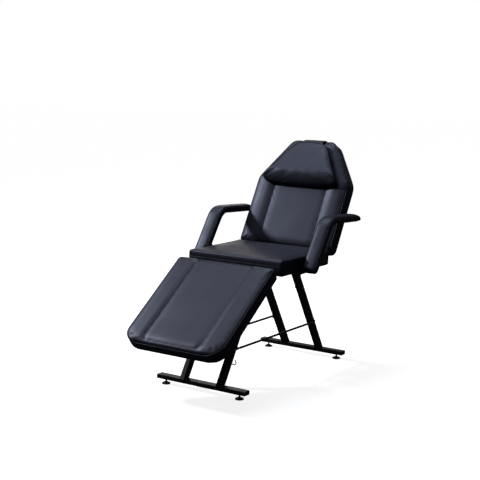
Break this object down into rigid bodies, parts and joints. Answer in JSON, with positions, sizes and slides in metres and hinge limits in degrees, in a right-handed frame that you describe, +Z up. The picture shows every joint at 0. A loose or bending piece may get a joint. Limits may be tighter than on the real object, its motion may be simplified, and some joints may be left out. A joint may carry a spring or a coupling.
{
  "type": "adjustable treatment chair",
  "caption": "Black padded treatment chair on an A-shaped steel stand, with a tilting leg rest and back on wire props, a head pillow that slides, raised armrests and levelling feet.",
  "frame": {"origin": "on the floor, under the middle of the whole chair's box", "axes": "+Y towards the head end, -Y towards the foot end, +X towards the sitter's left, +Z up"},
  "size_m": [0.8, 1.4622, 1.2686],
  "materials": {
    "black_leatherette": "soft satin synthetic leather with a fine grain",
    "black_steel": "satin black powder coat",
    "zinc_steel": "zinc plated steel",
    "plywood": "raw plywood",
    "black_cloth": "thin woven backing cloth",
    "black_plastic": "moulded black plastic"
  },
  "bodies": {
    "stand": {"foot_bar_front": "black_steel", "foot_bar_rear": "black_steel", "bar_end_caps": "black_plastic", "foot_inserts": "zinc_steel", "front_leg_left": "black_steel", "front_leg_right": "black_steel", "rear_leg_left": "black_steel", "rear_leg_right": "black_steel", "brace_left": "black_steel", "brace_right": "black_steel", "leg_hooks": "black_steel", "leg_bolts": "zinc_steel", "leg_nuts": "zinc_steel", "brace_bolts": "zinc_steel", "brace_nuts": "zinc_steel", "bail_pivot_bolts": "zinc_steel", "bail_spacers_and_nuts": "zinc_steel", "seat_side_rails": "black_steel", "seat_cross_rails": "black_steel", "legrest_seat_ears": "black_steel", "backrest_seat_ears": "black_steel", "hinge_pins": "zinc_steel", "seat_cushion": "black_leatherette", "seat_board": "plywood", "seat_dust_cover": "black_cloth", "arm_pad_left": "black_leatherette", "arm_pad_right": "black_leatherette", "arm_core_left": "black_steel", "arm_core_right": "black_steel", "arm_bracket_left": "black_steel", "arm_bracket_right": "black_steel", "arm_bolts": "zinc_steel"},
    "legrest": {"legrest_cushion": "black_leatherette", "legrest_board": "plywood", "legrest_dust_cover": "black_cloth", "legrest_side_tubes": "black_steel", "legrest_cross_tubes": "black_steel", "legrest_ears": "black_steel", "legrest_racks": "black_steel"},
    "backrest": {"backrest_cushion": "black_leatherette", "backrest_board": "plywood", "backrest_dust_cover": "black_cloth", "backrest_side_tubes": "black_steel", "backrest_cross_tubes": "black_steel", "backrest_ears": "black_steel", "backrest_racks": "black_steel"},
    "legrest_bail": {"legrest_bail": "black_steel"},
    "backrest_bail": {"backrest_bail": "black_steel"},
    "pillow": {"head_pillow": "black_leatherette", "pillow_flap": "black_leatherette"},
    "foot_front_left": {"levelling_foot_front_left": "black_plastic"},
    "foot_front_right": {"levelling_foot_front_right": "black_plastic"},
    "foot_rear_left": {"levelling_foot_rear_left": "black_plastic"},
    "foot_rear_right": {"levelling_foot_rear_right": "black_plastic"}
  },
  "joints": [
    {"name": "legrest_tilt", "type": "hinge", "parent": "stand", "child": "legrest", "pos_m": [0, -0.18077, 0.591], "axis": [1, 0, 0], "range_deg": [-36.3, 13.7]},
    {"name": "backrest_tilt", "type": "hinge", "parent": "stand", "child": "backrest", "pos_m": [0, 0.36413, 0.624], "axis": [1, 0, 0], "range_deg": [-61, 0]},
    {"name": "legrest_bail_swing", "type": "hinge", "parent": "stand", "child": "legrest_bail", "pos_m": [0, -0.20501, 0.442], "axis": [1, 0, 0], "range_deg": [-46.3, 17.5]},
    {"name": "backrest_bail_swing", "type": "hinge", "parent": "stand", "child": "backrest_bail", "pos_m": [0, 0.33367, 0.442], "axis": [1, 0, 0], "range_deg": [-36.6, 0]},
    {"name": "pillow_slide", "type": "slide", "parent": "backrest", "child": "pillow", "axis": [0, 0.4848, 0.8746], "range_m": [0, 0.1]},
    {"name": "foot_turn_front_left", "type": "hinge", "parent": "stand", "child": "foot_front_left", "pos_m": [0.2335, -0.44242, 0.02], "axis": [0, 0, 1], "continuous": true},
    {"name": "foot_turn_front_right", "type": "hinge", "parent": "stand", "child": "foot_front_right", "pos_m": [-0.2335, -0.44242, 0.02], "axis": [0, 0, 1], "continuous": true},
    {"name": "foot_turn_rear_left", "type": "hinge", "parent": "stand", "child": "foot_rear_left", "pos_m": [0.2335, 0.57108, 0.02], "axis": [0, 0, 1], "continuous": true},
    {"name": "foot_turn_rear_right", "type": "hinge", "parent": "stand", "child": "foot_rear_right", "pos_m": [-0.2335, 0.57108, 0.02], "axis": [0, 0, 1], "continuous": true}
  ],
  "couplings": [
    {"joint": "legrest_bail_swing", "follows": "legrest_tilt", "ratio": 1.275},
    {"joint": "backrest_bail_swing", "follows": "backrest_tilt", "ratio": 0.6}
  ]
}
